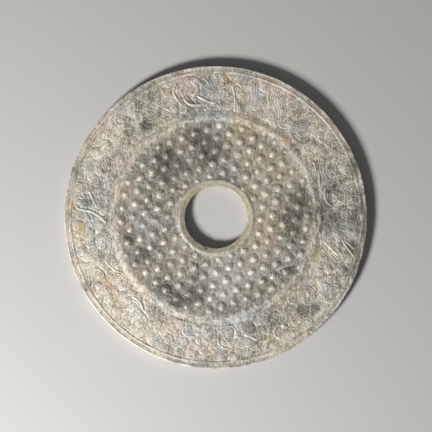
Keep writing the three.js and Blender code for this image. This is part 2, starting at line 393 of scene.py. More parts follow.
cut(sweep((218.4, 0.908), (219.8, 0.88)), 0.9, 0.24)
cut(sweep((223.1, 0.912), (224.1, 0.893)), 0.9, 0.24)
cut(sweep((228.8, 0.89), (229.4, 0.872), (230.2, 0.856)), 0.9, 0.24)
coil(226.8, 0.79, 2.0, 1.4, 330)
fan(sweep((224.6, 0.83), (226.5, 0.862), (230, 0.868), (233, 0.845)), 2, -1.3)
cut(sweep((230, 0.765), (231.8, 0.785), (233, 0.802), (234.8, 0.798)), 0.9, 0.24)
coil(235.5, 0.828, 1.9, 1.3, 40)
fan(sweep((234.3, 0.765), (235.4, 0.745), (238, 0.74), (239.9, 0.757)), 3, -1.35, depth=0.2)
body(curl(237.2, 0.768, 0.8, 1, 0), 2.8)

# From eight o'clock to ten: the C arcs, the wavy line, two smooth lobes and the long feathered S.
cut(sweep((240.4, 0.832), (242, 0.82), (244, 0.82), (246, 0.832), (247.4, 0.853)), 1.0, 0.28)
fan(sweep((241, 0.85), (243, 0.838), (245.6, 0.855)), 2, 1.2)
coil(239.9, 0.89, 1.5, 1.2, 90)
coil(249.5, 0.905, 2.3, 1.4, 220)
fan(sweep((243.5, 0.90), (246, 0.888), (247.5, 0.868)), 2, 1.2)
ridge(sweep((240, 0.725), (242, 0.75), (244.3, 0.763), (247, 0.778), (249, 0.778),
            (250.4, 0.755), (252.5, 0.732)), 0.7)
cut(sweep((249.4, 0.805), (250.8, 0.775)), 0.9, 0.24)
coil(257.2, 0.832, 2.2, 1.3, 90)
cut(sweep((255.8, 0.822), (257, 0.811), (258.4, 0.817)), 0.9, 0.26)
cut(sweep((255.5, 0.875), (257.6, 0.883), (259.2, 0.897)), 0.8)
body(sweep((255.4, 0.77), (257.5, 0.765)), 5.0)
cut(sweep((254.6, 0.805), (254.2, 0.765), (255, 0.735), (257.5, 0.722), (260.5, 0.73),
          (261.6, 0.76), (261.9, 0.795)))
body(sweep((263.3, 0.91), (266.3, 0.90)), 6.2)
cut(sweep((262.3, 0.935), (261.2, 0.905), (262.3, 0.873), (265.3, 0.86), (268, 0.87),
          (268.9, 0.905), (268.7, 0.945)), 0.8)
body(sweep((264, 0.772), (266.3, 0.77)), 5.4)
cut(sweep((262.4, 0.80), (265, 0.806), (267.7, 0.795), (268.6, 0.765), (267, 0.735),
          (265, 0.73), (263.3, 0.735)), 0.8)
cut(sweep((267.2, 0.812), (268.6, 0.823), (270.4, 0.828), (272.4, 0.855)), 0.9, 0.26)
ridge(sweep((273, 0.865), (272.6, 0.82), (271.3, 0.785), (269.8, 0.755), (267.4, 0.728)), 0.9, 0.26)
fan(sweep((269.3, 0.885), (270.8, 0.868), (271.9, 0.872)), 3, 1.1)
ridge(sweep((273.2, 0.872), (273.7, 0.91), (275, 0.928), (277.2, 0.93), (278.5, 0.912), (278.2, 0.893)), 0.7)
coil(276.3, 0.905, 1.6, 1.1, 90)
cut(sweep((274, 0.843), (277, 0.853), (280.2, 0.872)), 1.0, 0.26)
ridge(sweep((275, 0.79), (278, 0.815), (281.3, 0.848)), 0.8)
fan(sweep((275.6, 0.757), (278.3, 0.778), (281.5, 0.80)), 2, -1.4)
cut(sweep((276.5, 0.722), (279.2, 0.747)), 0.8)
fan(sweep((285.6, 0.86), (286.2, 0.895), (285.9, 0.93)), 2, 1.4)
fan(sweep((282.3, 0.845), (284.3, 0.82), (285.2, 0.78)), 2, 1.2)
cut(sweep((290, 0.845), (289, 0.82), (287.5, 0.80), (287.3, 0.768)), 0.9, 0.24)
coil(291, 0.792, 1.7, 1.3, 20)
fan(sweep((295.3, 0.855), (294, 0.822), (292.2, 0.805)), 3, 1.3)
fan(sweep((292.5, 0.755), (296, 0.755), (298.3, 0.772), (299.7, 0.797)), 3, 1.3)
coil(298, 0.895, 2.6, 1.5, 280)

# From ten o'clock to twelve: curls and a hatched patch, the ladder of feathers and the large head.
coil(303.3, 0.877, 2.5, 1.5, 70, -1)
fan(sweep((306.7, 0.765), (309.5, 0.783), (312.2, 0.796)), 2, 1.2)
cut(sweep((302, 0.708), (306, 0.731), (310.5, 0.757)))
coil(311.7, 0.898, 2.0, 1.4, 330)
coil(316.3, 0.903, 2.8, 2.0, 150)
for slant in (1.0, -1.0):
    hatch(sweep((310.6, 0.83), (313, 0.832), (315.4, 0.83)), 3.6, 1.3, slant)
cut(sweep((316.7, 0.825), (318.3, 0.845), (319.6, 0.868)), 0.9)
coil(319.9, 0.772, 2.3, 1.5, 30)
cut(sweep((321.8, 0.745), (323.5, 0.757), (325.6, 0.75)), 1.0, 0.26)
coil(327.3, 0.79, 3.1, 2.2, 280)
fan(sweep((323.6, 0.863), (325.3, 0.89), (326.6, 0.918)), 2, 1.1)
coil(331, 0.792, 1.8, 1.4, 60)
fan(sweep((331.6, 0.835), (333.8, 0.798), (336.2, 0.758)), 4, -1.3, depth=0.15)
ridge(sweep((332, 0.845), (334.5, 0.80), (337.2, 0.76)), 0.6, 0.1)
coil(338.9, 0.777, 2.2, 1.6, 200)
fan(sweep((329.5, 0.87), (332, 0.878), (334.5, 0.905), (334.6, 0.94)), 3, 1.3)
coil(338.3, 0.88, 2.6, 1.6, 120)
body(sweep((344, 0.915), (347.5, 0.912), (351, 0.91)), 8.4)
cut(sweep((343.2, 0.888), (342.2, 0.915), (343.6, 0.94)), 0.8)
cut(sweep((351.5, 0.943), (353.7, 0.917), (354.6, 0.893)), 0.9, 0.24)
ridge(sweep((342.2, 0.897), (341.4, 0.865), (341.8, 0.82), (342.8, 0.78)), 0.8, 0.25)
ridge(sweep((344.8, 0.84), (345.3, 0.80), (346.7, 0.77), (349.3, 0.753), (352, 0.749)), 0.8, 0.25)
cut(sweep((346.7, 0.828), (348, 0.795), (349.2, 0.773)), 1.1, 0.3)
coil(347.2, 0.868, 1.9, 1.3, 250)
ridge(sweep((350.4, 0.892), (351.6, 0.875), (351.8, 0.85), (351, 0.832), (349.7, 0.822)), 1.1, 0.3)
cut(sweep((350.6, 0.805), (352.8, 0.778), (354.4, 0.757)), 0.9, 0.26)
ridge(sweep((352, 0.803), (354, 0.786), (357, 0.762), (359.7, 0.754)), 0.8, 0.24)
ridge(sweep((355.4, 0.915), (356.3, 0.898), (357, 0.875)), 0.7)
fan(sweep((354.9, 0.885), (356.3, 0.86), (358, 0.845)), 2, 1.1)
fan(sweep((357.5, 0.93), (358.8, 0.90), (359.6, 0.86), (360, 0.82)), 2, 1.2)

# Small arcs fill what is left between these forms, each as large as its place allows.
least_room = 2.5
largest_arc = 3.6
filler = random.Random(11)
taken = np.vstack([path for path, width, depth in cuts])
for attempt in range(2000):
    clock = filler.uniform(0, 360)
    share = filler.uniform(0.725, 0.938)
    room = np.hypot(*(taken - place(clock, share)).T).min()
    facing = filler.uniform(0, 360)
    turns = filler.uniform(0.55, 1)
    hand = filler.choice((-1, 1))
    if room > least_room:
        size = min(0.95 * room, largest_arc)
        arc = curl(clock, share, size, turns, facing, hand)
        body(curl(clock, share, 0.5 * size, 1, 0), 1.7 * size, 0.38)
        ridge(arc, 0.6, 0.12)
        taken = np.vstack([taken, arc])


# Fine lines echo the forms. Their spacing and depth are in millimetres.
line_spacing = 1.25
line_depth = 0.09


def mottled(x, y, size, seed):
    """Smooth random values from -1 to 1, with blotches of about the given size."""
    cells = int(2 * disc_radius / size) + 4
    values = np.random.default_rng(seed).uniform(-1, 1, (cells, cells))
    across = (x + disc_radius) / size + 1
    along = (y + disc_radius) / size + 1
    column = np.clip(across.astype(int), 0, cells - 2)
    row = np.clip(along.astype(int), 0, cells - 2)
    u = across - column
    v = along - row
    u = u * u * (3 - 2 * u)
    v = v * v * (3 - 2 * v)
    near = values[row, column] * (1 - u) + values[row, column + 1] * u
    far = values[row + 1, column] * (1 - u) + values[row + 1, column + 1] * u
    return near * (1 - v) + far * v


def carve_dragons(x, y, level, dirt_and_shade):
    """Stand the coils up, cut the lines, and fill what is left with fine lines that echo them."""
    radius = np.hypot(x, y)
    fade = np.clip((radius - band_outside - 0.2) / 0.9, 0, 1)
    fade *= np.clip((margin - 0.5 - radius) / 0.7, 0, 1)
    ring = np.nonzero(fade > 0)[0]
    rx = x[ring]
    ry = y[ring]
    lift = 0.14 + 0.16 * mottled(rx, ry, 5, 23)
    for path, width, height in bodies:
        near = near_path(path, rx, ry, width)
        gap = distance_to(path, rx[near], ry[near]) / (0.5 * width)
        lift[near] = np.maximum(lift[near], height * np.clip(1 - gap ** 2, 0, 1) ** 0.8)
    sunk = np.zeros(len(ring))
    nearest = np.full(len(ring), 9.0)
    for path, width, depth in cuts:
        near = near_path(path, rx, ry, 5)
        gap = distance_to(path, rx[near], ry[near])
        sunk[near] = np.maximum(sunk[near], depth * np.exp(-(gap / (0.45 * width)) ** 2))
        nearest[near] = np.minimum(nearest[near], gap)
    echo = nearest + 0.45 * mottled(rx, ry, 3.5, 21) + 0.2 * mottled(rx, ry, 1.4, 22)
    off_line = abs((echo / line_spacing) % 1 - 0.5) * line_spacing
    legible = np.clip(0.6 + 1.4 * mottled(rx, ry, 4.5, 24), 0, 1) * np.clip(nearest / 0.5 - 1, 0, 1)
    sunk = np.maximum(sunk, line_depth * np.exp(-(off_line / 0.26) ** 2) * legible)
    level[ring] += (lift - sunk) * fade[ring]
    # The cuts and fine lines are darkened as well: painted shade with some dirt.
    dirt_and_shade[ring] = np.maximum(dirt_and_shade[ring], np.clip(sunk / 0.2, 0, 1) * fade[ring])


# THE DISC: PITS, SCRATCHES AND LINES OF PAINTED SHADE AND DIRT
# Use and burial left a few pits, a nick in the edge of the hole and some long scratches in the
# stone. The foot of each turned step is painted darker, as shade with some dirt.

# Each pit has a clock angle, a share of the radius, a size and a depth.
pits = [
    (20, 0.63, 0.7, 0.3),
    (196, 0.208, 0.9, 0.5),
    (101, 0.69, 0.5, 0.2),
    (288, 0.66, 0.5, 0.2),
    (62, 0.985, 0.8, 0.3),
    (141, 0.985, 0.7, 0.25),
    (331, 0.98, 0.8, 0.2),
    (232, 0.685, 0.4, 0.2),
    (171, 0.33, 0.5, 0.2),
]
scratches = [
    sweep((132, 0.525), (126, 0.56), (121, 0.596)),
    sweep((114, 0.536), (116, 0.594)),
    sweep((68, 0.36), (58, 0.43)),
    sweep((302, 0.67), (309, 0.69)),
    sweep((28, 0.28), (47, 0.33)),
]

# Each line of painted shade and dirt has a radius, a width and an amount.
shade_and_dirt_lines = [
    (collar + 1, 0.6, 1.0),
    (band_inside - 1.4, 0.8, 0.3),
    (margin - 0.6, 0.3, 0.5),
    (margin + 1.1, 0.4, 0.5),
    (disc_radius - 1.3, 0.2, 0.3),
    (collar - 1.4, 0.3, 0.5),
]


def carved_face(x, y):
    """Level of the face under its highest point, with how much painted shade and dirt darken each place,
    from 0 to 1.
    """
    radius = np.hypot(x, y)
    level = turned_level(radius)
    dirt_and_shade = np.zeros(len(x))
    # Painted shade with some dirt, in lines at the foot of each turned step.
    for foot, wide, amount in shade_and_dirt_lines:
        dirt_and_shade += amount * np.exp(-((radius - foot) / wide) ** 2)
    raise_bosses(x, y, level, dirt_and_shade)
    carve_dragons(x, y, level, dirt_and_shade)
    level += 0.03 * mottled(x, y, 9, 1) + 0.022 * mottled(x, y, 2.5, 2) + 0.02 * mottled(x, y, 1.0, 3)
    for clock, share, size, depth in pits:
        middle = place(clock, share)
        pit = np.exp(-(((x - middle[0]) ** 2 + (y - middle[1]) ** 2) / size ** 2) ** 2)
        level -= depth * pit
        dirt_and_shade = np.maximum(dirt_and_shade, pit)
    return np.minimum(level, 0), dirt_and_shade


# THE DISC: THE BACK
# The back was carved more quickly. The ring behind the grains is only a little sunk, and it keeps
# the three crossing families of setting-out lines, which look like a woven rush mat.
mat_depth = 0.42
ring_depth = 0.12
mat_line_width = 0.6
mat_pitch = boss_pitch * math.sqrt(3) / 2


def carved_back(x, y):
    """Height of the back's surface over the table, with how much painted shade and dirt darken each place.
    """
    radius = np.hypot(x, y)
    inside = np.clip((radius - collar - 0.1) / 0.6, 0, 1)
    inside *= np.clip((band_inside - 0.1 - radius) / 0.6, 0, 1)
    lines = np.zeros(len(x))
    for k in range(3):
        across = lattice_turn + k * math.pi / 3
        travel = math.cos(across) * (y - lattice_start[1]) - math.sin(across) * (x - lattice_start[0])
        off_line = abs((travel / mat_pitch) % 1 - 0.5) * mat_pitch
        lines = np.maximum(lines, np.exp(-(off_line / mat_line_width) ** 2))
    height = inside * (ring_depth + (mat_depth - ring_depth) * lines)
    height = np.maximum(height, 0.16 * np.exp(-((radius - margin) / 0.5) ** 2))
    return height + 0.015 * (1 + mottled(x, y, 4, 5)), np.maximum(inside * lines, height / 0.3)


# THE DISC: THE MESH
# Rings of points are laid over the face, round the edge, across the back and up the hole. Each
# ring has a radius, and either the side that shapes it or its own level under the top.
def ring_of_points(radius, spacing):
    """Points round one ring, evenly spaced and starting at three o'clock."""
    count = max(24, int(round(math.tau * radius / spacing)))
    angle = np.arange(count) * math.tau / count
    return radius * np.cos(angle), radius * np.sin(angle)


def stitch(first, count_a, second, count_b):
    """Triangles between two neighbouring rings, given each ring's first vertex and its count."""
    triangles = []
    a = b = 0
    while a < count_a or b < count_b:
        if b == count_b or (a < count_a and (a + 1) * count_b <= (b + 1) * count_a):
            triangles.append((first + a % count_a, first + (a + 1) % count_a, second + b % count_b))
            a += 1
        else:
            triangles.append((first + a % count_a, second + (b + 1) % count_b, second + b % count_b))
            b += 1
    return triangles


fine = 0.27
coarse = 0.7
edge_round = 0.45
rim_radius = disc_radius - 0.02
rings = [(radius, "face") for radius in np.arange(hole + 0.05, disc_radius - edge_round, fine)]
for lift in np.linspace(0.1, 1, 7):
    bend = lift * math.pi / 2
    out = disc_radius - edge_round + edge_round * math.sin(bend)
    rings.append((min(out, rim_radius), -0.14 - 1.6 * edge_round * (1 - math.cos(bend))))
rings += [(rim_radius, level) for level in (-2.0, -2.9, -3.8)]
rings += [(disc_radius - 0.18, -4.45), (disc_radius - 0.5, -4.82)]
rings += [(radius, "back") for radius in np.arange(disc_radius - 0.9, hole + 0.5, -coarse)]
rings += [(hole + 0.3, -thickness + 0.04), (hole + 0.05, -4.75)]
rings += [(hole, level) for level in (-4.2, -3.4, -2.6, -1.8, -1.2, -0.8)]

spots = []
starts = []
count = 0
for radius, kind in rings:
    x, y = ring_of_points(radius, fine if kind == "face" else coarse)
    own_level = 0.0 if kind in ("face", "back") else kind
    spots.append(np.column_stack([x, y, np.full(len(x), own_level)]))
    starts.append((count, len(x)))
    count += len(x)
spots = np.vstack(spots)
kinds = np.repeat([str(kind) for _, kind in rings], [ring_count for _, ring_count in starts])
is_face = kinds == "face"
is_back = kinds == "back"
spots[is_face, 2] = carved_face(spots[is_face, 0], spots[is_face, 1])[0]
spots[:, 2] += thickness
spots[is_back, 2] = carved_back(spots[is_back, 0], spots[is_back, 1])[0]
triangles = []
for i, (first, ring_count) in enumerate(starts):
    second, next_count = starts[(i + 1) % len(starts)]
    triangles += stitch(first, ring_count, second, next_count)

mesh = bpy.data.meshes.new("jade_disc")
mesh.from_pydata((spots * MM).tolist(), [], [t[::-1] for t in triangles])
mesh.update()
disc = bpy.data.objects.new("jade_disc", mesh)
bpy.context.scene.collection.objects.link(disc)

# Flat stretches need fewer triangles than the carving, so the mesh is thinned where it is flat.
most_triangles = 190000
thin = disc.modifiers.new("thin", "DECIMATE")
thin.ratio = min(1.0, most_triangles / len(mesh.polygons))
mesh = bpy.data.meshes.new_from_object(disc.evaluated_get(bpy.context.evaluated_depsgraph_get()))
disc.modifiers.clear()
disc.data = mesh
count = len(mesh.vertices)
spots = np.empty(count * 3)
mesh.vertices.foreach_get("co", spots)
spots = spots.reshape(-1, 3)
spots[:, 2] = np.clip(spots[:, 2], box_low[2], box_high[2])
mesh.vertices.foreach_set("co", spots.ravel())
mesh.shade_smooth()

# THE DISC: DIRT, WEAR, STAINS, PAINTED SHADE AND PAINTED HIGHLIGHTS
# Burial turned parts of the green stone chalky white, and iron, soil and other grave goods stained
# it in patches. The cuts, the ground among the grains and the foot of each step are painted darker,
# as shade with some dirt, and the ridge crests and grain caps are painted lighter, as highlights
# with some chalk and polish. Handling has polished whatever stands up.

# Each stain has a name, a tint, a strength and its patches. A patch has a clock angle, a share of
# the radius and a size in millimetres.
stains = [
    ("cream", "dfd0b5", 0.8, [
        (225, 0.98, 8), (203, 0.98, 7), (248, 0.98, 7), (222, 0.86, 9), (235, 0.76, 6),
        (332, 0.64, 6), (240, 0.70, 6), (212, 0.92, 12), (232, 0.93, 12), (250, 0.87, 10),
        (205, 0.85, 8), (262, 0.92, 8), (300, 0.93, 9), (310, 0.87, 7), (30, 0.80, 9), (28, 0.88, 7),
        (48, 0.87, 6), (120, 0.82, 8), (45, 0.38, 10), (66, 0.36, 9), (88, 0.33, 9), (108, 0.31, 9),
        (130, 0.32, 7), (60, 0.57, 9), (70, 0.225, 6), (100, 0.225, 6), (45, 0.60, 8), (15, 0.50, 9),
        (16, 0.60, 7), (285, 0.58, 10), (329, 0.55, 6), (150, 0.41, 8), (330, 0.36, 6)
    ]),
    ("pale", "d4d4d0", 0.8, [
        (172, 0.36, 11), (176, 0.46, 9), (150, 0.46, 7), (18, 0.86, 6), (2, 0.63, 7), (192, 0.95, 6),
        (222, 0.82, 6), (350, 0.30, 6), (195, 0.86, 6), (255, 0.77, 7)
    ]),
    ("peach", "d8bb94", 0.55, [
        (225, 0.70, 7), (240, 0.86, 7), (228, 0.88, 7), (15, 0.56, 9), (57, 0.54, 9), (40, 0.47, 11),
        (105, 0.40, 9), (118, 0.31, 6), (95, 0.32, 7), (12, 0.84, 6), (30, 0.62, 7), (262, 0.93, 6),
        (106, 0.78, 5), (340, 0.87, 6), (60, 0.30, 8), (145, 0.73, 6)
    ]),
    ("shade", "77725f", 0.9, [
        (213, 0.52, 14), (240, 0.47, 9), (258, 0.36, 8), (292, 0.44, 10), (318, 0.52, 12),
        (345, 0.36, 8), (105, 0.54, 9), (84, 0.66, 10), (75, 0.76, 9), (60, 0.80, 8), (60, 0.93, 8),
        (45, 0.71, 6), (347, 0.70, 10), (345, 0.61, 7), (330, 0.91, 11), (327, 0.78, 7),
        (298, 0.74, 8), (314, 0.77, 6), (118, 0.95, 9), (97, 0.92, 12), (137, 0.89, 9),
        (150, 0.77, 9), (160, 0.80, 9), (163, 0.88, 8), (132, 0.58, 9), (72, 0.62, 7), (76, 0.48, 6),
        (205, 0.36, 6), (157, 0.86, 7), (148, 0.70, 6), (62, 0.86, 7), (200, 0.225, 4),
        (225, 0.225, 5), (248, 0.225, 4), (3, 0.43, 7), (85, 0.86, 8), (303, 0.34, 7), (195, 0.73, 8),
        (197, 0.93, 7), (253, 0.80, 6), (270, 0.70, 5), (275, 0.87, 6), (215, 0.36, 6),
        (152, 0.56, 7), (92, 0.70, 8), (167, 0.74, 8), (255, 0.31, 6)
    ]),
    ("slate", "6c7271", 0.85, [
        (196, 0.50, 9), (205, 0.60, 7), (158, 0.69, 8), (172, 0.70, 8), (0, 0.70, 7), (268, 0.38, 7),
        (244, 0.56, 7), (285, 0.78, 5), (97, 0.94, 8)
    ]),
    ("dark", "45432f", 0.95, [
        (353, 0.47, 8), (349, 0.56, 6), (355, 0.40, 5), (320, 0.49, 8), (327, 0.40, 5),
        (312, 0.44, 6), (243, 0.55, 5), (256, 0.585, 4), (205, 0.60, 5), (214, 0.57, 5),
        (88, 0.51, 7), (79, 0.57, 6), (88, 0.70, 7), (91, 0.78, 7), (100, 0.52, 5), (76, 0.78, 5),
        (103, 0.93, 6), (90, 0.94, 8), (112, 0.95, 5), (137, 0.84, 4), (133, 0.885, 4),
        (70, 0.985, 5), (82, 0.985, 6), (95, 0.985, 6), (108, 0.985, 5), (84, 0.73, 5), (93, 0.72, 5),
        (346, 0.53, 6), (322, 0.755, 4), (152, 0.78, 5), (163, 0.76, 4), (276.5, 0.85, 3),
        (125, 0.61, 4), (196, 0.53, 6)
    ]),
    ("blue_grey", "939b9c", 0.75, [
        (163, 0.67, 6), (93, 0.86, 6), (122, 0.87, 5), (168, 0.74, 8), (180, 0.70, 7),
        (192, 0.785, 7), (275, 0.85, 7), (268, 0.82, 5), (357, 0.84, 9), (352, 0.66, 8),
        (268, 0.46, 8), (205, 0.90, 5), (100, 0.85, 5), (352, 0.90, 5), (142, 0.80, 5)
    ]),
    ("pink", "cba896", 0.6, [
        (56, 0.78, 7), (347, 0.92, 7), (201, 0.80, 8), (42, 0.65, 6), (190, 0.88, 6), (218, 0.38, 6),
        (262, 0.64, 6), (300, 0.70, 7), (285, 0.62, 7), (30, 0.93, 6), (340, 0.84, 6), (20, 0.95, 6),
        (310, 0.94, 6), (113, 0.42, 6)
    ]),
    ("orange", "c39c6b", 0.65, [
        (17, 0.665, 6), (21, 0.61, 6), (20, 0.55, 4), (42, 0.69, 4), (232, 0.67, 4), (110, 0.71, 4)
    ]),
    ("ochre", "c29e62", 0.75, [
        (238, 0.80, 5.5), (233, 0.84, 4), (39, 0.90, 4.5), (266, 0.91, 3.5), (275, 0.965, 4),
        (5, 0.90, 4.5)
    ]),
    ("tan", "a3926b", 0.75, [
        (154, 0.93, 9), (143, 0.94, 7), (110, 0.70, 6), (135, 0.71, 6), (143, 0.83, 6), (62, 0.90, 6),
        (55, 0.75, 6), (337, 0.57, 7), (185, 0.25, 5), (312, 0.25, 6), (330, 0.70, 6), (78, 0.54, 6),
        (97, 0.60, 6), (300, 0.96, 5)
    ]),
    ("brown", "73573b", 0.85, [
        (5, 0.88, 2.2), (39, 0.895, 2), (40, 0.965, 2), (64.5, 0.972, 3), (236, 0.80, 1.6),
        (61, 0.93, 3.5), (46, 0.62, 3), (350, 0.43, 4)
    ]),
    ("moss", "7a7d64", 0.65, [
        (80, 0.90, 6), (68, 0.86, 5), (287, 0.96, 5), (113, 0.93, 6), (150, 0.83, 5), (290, 0.32, 7),
        (72, 0.93, 6), (8, 0.25, 4)
    ]),
]

spots = spots / MM
on_face = spots[:, 2] > thickness - 1.2
on_back = spots[:, 2] < 0.6
level, dirt_and_shade = carved_face(spots[:, 0], spots[:, 1])
dirt_and_shade = np.where(on_face, dirt_and_shade, np.where(on_back, carved_back(spots[:, 0], spots[:, 1])[1], 0))
back_crown = np.where(on_back, 0.6 - dirt_and_shade, 0.4)
crown = np.where(on_face, np.clip(1 + level / 0.5, 0, 1), back_crown)


def keep_on_mesh(name, values):
    """Keep one value a vertex under a name that the material can ask for."""
    mesh.attributes.new(name, "FLOAT", "POINT").data.foreach_set("value", values.astype(np.float32))


# How much painted shade, with some dirt, darkens each place.
keep_on_mesh("dirt_and_shade", np.clip(dirt_and_shade, 0, 1))
radius = np.hypot(spots[:, 0], spots[:, 1])
among_grains = on_face & (radius > collar + 0.5) & (radius < band_inside - 0.5)
keep_on_mesh("crown", np.where(among_grains, 0.4 * crown, crown))
# Painted shade with some dirt: the lower the ground among the grains, the darker it is painted.
keep_on_mesh("grain_ground_shade_and_dirt", np.where(among_grains, np.clip((-level - 0.2) / 0.45, 0, 1), 0))
on_band = abs(radius - (band_inside + band_outside) / 2) < 1.8
turned = (radius < collar) | on_band | (radius > margin - 0.6)
keep_on_mesh("turned", (turned & on_face).astype(float))
keep_on_mesh("olive", np.where(radius < collar + 0.4, 1.0, 0.0))
round_the_disc = np.arctan2(spots[:, 1], spots[:, 0]) / math.pi * disc_radius
keep_on_mesh("streak", np.where(turned, mottled(round_the_disc, (4 * radius) % 150 - 75, 1.6, 31), 0))
# Painted highlight with some polish: each grain's cap is painted lighter.
cap_polish_and_highlights = np.zeros(count)
for centre_x, centre_y, vigour, facing, polish_and_highlight in bosses:
    near = np.nonzero((abs(spots[:, 0] - centre_x) < 2) & (abs(spots[:, 1] - centre_y) < 2))[0]
    gap = np.hypot(spots[near, 0] - centre_x, spots[near, 1] - centre_y)
    cap_polish_and_highlights[near] = np.maximum(cap_polish_and_highlights[near], polish_and_highlight * np.exp(-(gap / 1.6) ** 3))
keep_on_mesh("cap_highlight_and_polish", np.where(on_face, cap_polish_and_highlights, 0))


def along_lines(lines):
    """How near each point is to some lines, each a path and a width, from 0 to 1."""
    amount = np.zeros(count)
    for path, width in lines:
        near = near_path(path, spots[:, 0], spots[:, 1], 1)
        gap = distance_to(path, spots[near, 0], spots[near, 1])
        amount[near] = np.maximum(amount[near], np.exp(-(gap / width) ** 2))
    return np.where(on_face, amount, 0)


scratch_width = 0.3
# Painted highlight with some chalky weathering along the ridge crests.
keep_on_mesh("chalky_crest_highlight", along_lines(crests))
keep_on_mesh("scuffed", along_lines([(path, scratch_width) for path in scratches]))
for name, tint, strength, patches in stains:
    amount = np.zeros(count)
    for clock, share, size in patches:
        middle = place(clock, share)
        gap = np.hypot(spots[:, 0] - middle[0], spots[:, 1] - middle[1])
        amount = np.maximum(amount, np.exp(-(gap / size) ** 2))
    keep_on_mesh(name, amount)


# THE DISC: THE STONE
# Nephrite, grey-green where it is still fresh and bone-coloured where it has turned chalky. It was
# ground and polished with wet grit, and burial dulled it, so it has a soft, uneven shine. The two
# colours run into each other in clouds, veins and specks.
def colour(code):
    """An sRGB hex colour as linear red, green, blue and alpha."""
    parts = [int(code[i:i + 2], 16) / 255 for i in (0, 2, 4)]
    return (*[p / 12.92 if p <= 0.04045 else ((p + 0.055) / 1.055) ** 2.4 for p in parts], 1)


def add_node(kind, settings, output, **sockets):
    """Add a node and give back one output. A socket, i0 for the first, is a value or a link."""
    node = tree.nodes.new("ShaderNode" + kind)
    for name, value in settings.items():
        setattr(node, name, value)
    for name, value in sockets.items():
        key = int(name[1:]) if name[1:].isdigit() else name.replace("_", " ")
        if isinstance(value, bpy.types.NodeSocket):
            tree.links.new(value, node.inputs[key])
        else:
            node.inputs[key].default_value = value
    return node.outputs[output]


stone = bpy.data.materials.new("calcified_nephrite")
stone.use_nodes = True
tree = stone.node_tree
shader = tree.nodes["Principled BSDF"]
shader.inputs["IOR"].default_value = 1.61
where = add_node("TexCoord", {}, "Object")
product = {"operation": "MULTIPLY"}
product_and_sum = {"operation": "MULTIPLY_ADD"}
eased = {"interpolation_type": "SMOOTHSTEP"}


def clouds(size, low, high, most, detail, roughness=0.6, distortion=0.0, least=0.0):
    """Soft-edged clouds of about the given size in millimetres, from least to most."""
    thickness = add_node("TexNoise", {}, "Fac", Vector=where, Scale=1 / (size * MM), Detail=detail,
                         Roughness=roughness, Distortion=distortion)
    return add_node("MapRange", eased, "Result", Value=thickness, From_Min=low, From_Max=high,
                    To_Min=least, To_Max=most)


def contours(cloud, at, width, most):
    """Thin lines, where a cloud passes through one value."""
    above = add_node("Math", {"operation": "SUBTRACT"}, "Value", i0=cloud, i1=at)
    off_line = add_node("Math", {"operation": "ABSOLUTE"}, "Value", i0=above)
    return add_node("MapRange", eased, "Result", Value=off_line, From_Min=0, From_Max=width,
                    To_Min=most, To_Max=0)


def veins(size, at, width, most):
    """Thin winding veins, with bends of about the given size in millimetres."""
    cloud = add_node("TexNoise", {}, "Fac", Vector=where, Scale=1 / (size * MM), Detail=3,
                     Roughness=0.5, Distortion=0.6)
    return contours(cloud, at, width, most)


def hairlines(wide, long, turn, at, width, most):
    """Nearly straight lines along one direction, such as a polishing wheel leaves."""
    drawn_out = add_node("Mapping", {"vector_type": "TEXTURE"}, "Vector", Vector=where,
                         Rotation=(0, 0, math.radians(turn)),
                         Scale=(wide * MM, long * MM, wide * MM))
    cloud = add_node("TexNoise", {}, "Fac", Vector=drawn_out, Scale=1, Detail=2, Distortion=0.3)
    return contours(cloud, at, width, most)


def kept(name, share=1.0):
    """A share of a value that was kept on the mesh."""
    value = add_node("Attribute", {"attribute_name": name}, "Fac")
    return add_node("Math", product, "Value", i0=value, i1=share)


# The turned rings were polished more, so they show less grit and fewer specks.
carved = add_node("Math", product_and_sum, "Value", i0=kept("turned"), i1=-0.6, i2=1)


def on_carving(amount):
    """An amount that is weaker on the turned rings."""
    return add_node("Math", product, "Value", i0=carved, i1=amount)


cloud = add_node("TexNoise", {}, "Fac", Vector=where, Scale=1 / (5 * MM), Detail=7,
                 Roughness=0.68, Distortion=0.8)
ragged = add_node("Math", product_and_sum, "Value", i0=cloud, i1=1.6, i2=-0.8)


def stain(name, strength):
    """The amount of one stain, with ragged edges."""
    spread = add_node("Math", {"operation": "ADD"}, "Value", i0=kept(name), i1=ragged)
    return add_node("MapRange", eased, "Result", Value=spread, From_Min=0.2, From_Max=0.85,
                    To_Min=0, To_Max=strength)


def streaks(low, high):
    """Turning marks on the rings, where the kept value goes from low to high."""
    return add_node("MapRange", eased, "Result", Value=kept("streak"), From_Min=low, From_Max=high,
                    To_Min=0, To_Max=0.5)


